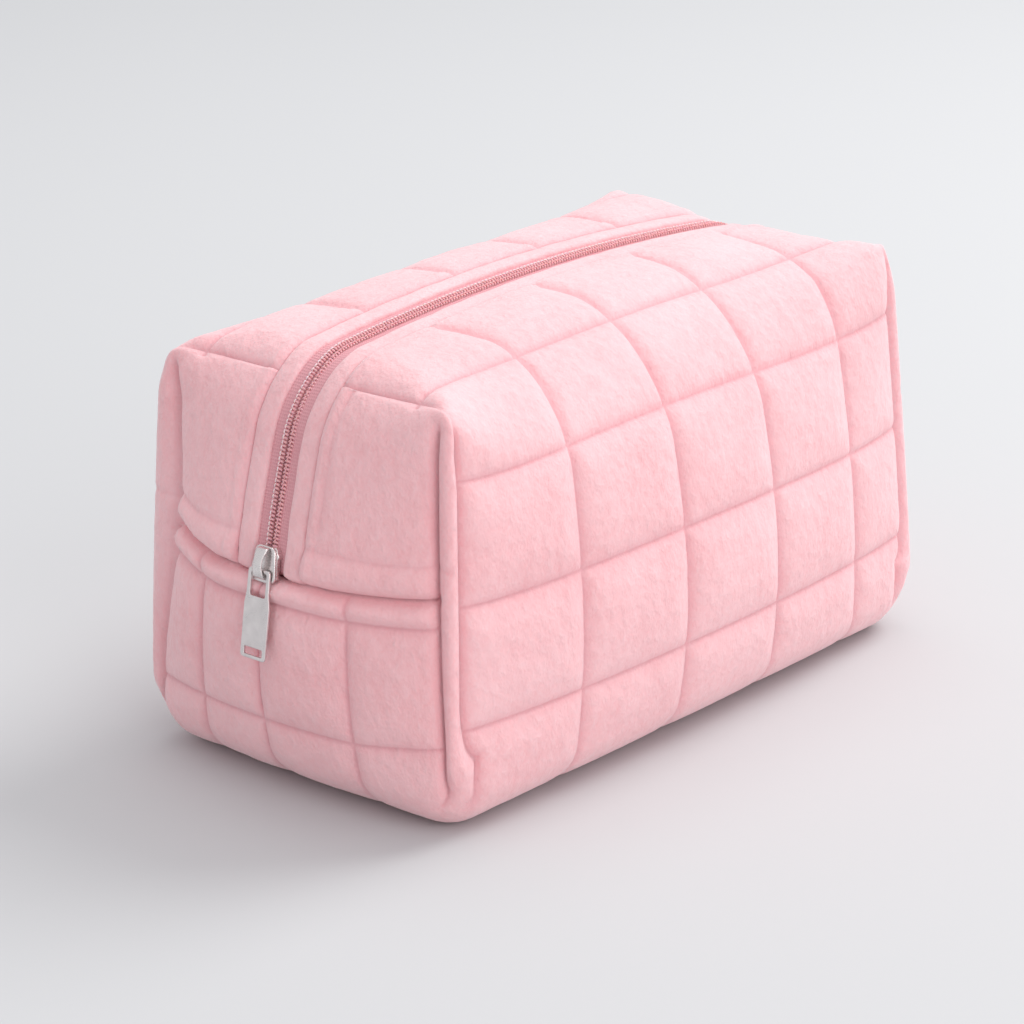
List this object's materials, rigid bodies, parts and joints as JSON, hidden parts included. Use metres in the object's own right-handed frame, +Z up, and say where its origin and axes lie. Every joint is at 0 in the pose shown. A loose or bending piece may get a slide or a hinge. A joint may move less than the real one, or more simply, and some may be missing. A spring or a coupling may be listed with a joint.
{
  "type": "quilted makeup bag",
  "caption": "Soft boxy quilted plush pouch with a zip that runs over the top and down the end, a lined inside and a metal slider with a flat pull tab.",
  "frame": {"origin": "centre of the bag's bounding box, on the surface it stands on", "axes": "+X along the bag, away from the end that has the slider; +Y across the bag to its back wall; +Z up"},
  "size_m": [0.2187, 0.1246, 0.1203],
  "materials": {
    "plush": "short soft pile, quilted, pale pink",
    "wadding": "loose polyester wadding, off-white",
    "lining": "plain woven polyester, slight sheen, pink",
    "binding": "folded woven binding tape, pink",
    "tape": "herringbone woven zip tape, darker rose",
    "coil": "moulded nylon coil, satin, rose",
    "nickel": "brushed nickel-plated zinc casting"
  },
  "bodies": {
    "base": {"plush_lower": "plush", "wadding_lower": "wadding", "lining_lower": "lining", "seam_binding_near": "binding", "seam_binding_far": "binding", "corner_binding_low_near_front": "binding", "corner_binding_low_near_back": "binding", "corner_binding_low_far_front": "binding", "corner_binding_low_far_back": "binding", "zip_tape_end_front": "tape", "zip_tape_end_back": "tape", "top_stop_front": "coil", "top_stop_back": "coil", "bottom_stop": "coil"},
    "front_flap": {"plush_front": "plush", "wadding_front": "wadding", "lining_front": "lining", "zip_facing_front": "plush", "zip_tape_front": "tape", "zip_coil_front": "coil", "corner_binding_high_near_front": "binding", "corner_binding_high_far_front": "binding"},
    "back_flap": {"plush_back": "plush", "wadding_back": "wadding", "lining_back": "lining", "zip_facing_back": "plush", "zip_tape_back": "tape", "zip_coil_back": "coil", "corner_binding_high_near_back": "binding", "corner_binding_high_far_back": "binding"},
    "slider": {"slider_body": "nickel", "slider_cap": "nickel", "lock_pawl": "nickel"},
    "pull": {"pull_tab": "nickel"}
  },
  "joints": [
    {"name": "front_flap_fold", "type": "hinge", "parent": "base", "child": "front_flap", "pos_m": [0, -0.0617, 0.0619], "axis": [1, 0, 0], "range_deg": [0, 22]},
    {"name": "back_flap_fold", "type": "hinge", "parent": "base", "child": "back_flap", "pos_m": [0, 0.0617, 0.0619], "axis": [-1, 0, 0], "range_deg": [0, 22]},
    {"name": "slider_travel", "type": "slide", "parent": "base", "child": "slider", "axis": [0.2408, 0, 0.9706], "range_m": [0, 0.02]},
    {"name": "pull_swing", "type": "hinge", "parent": "slider", "child": "pull", "pos_m": [-0.1047, 0, 0.0636], "axis": [0, 1, 0], "range_deg": [0, 150]}
  ]
}
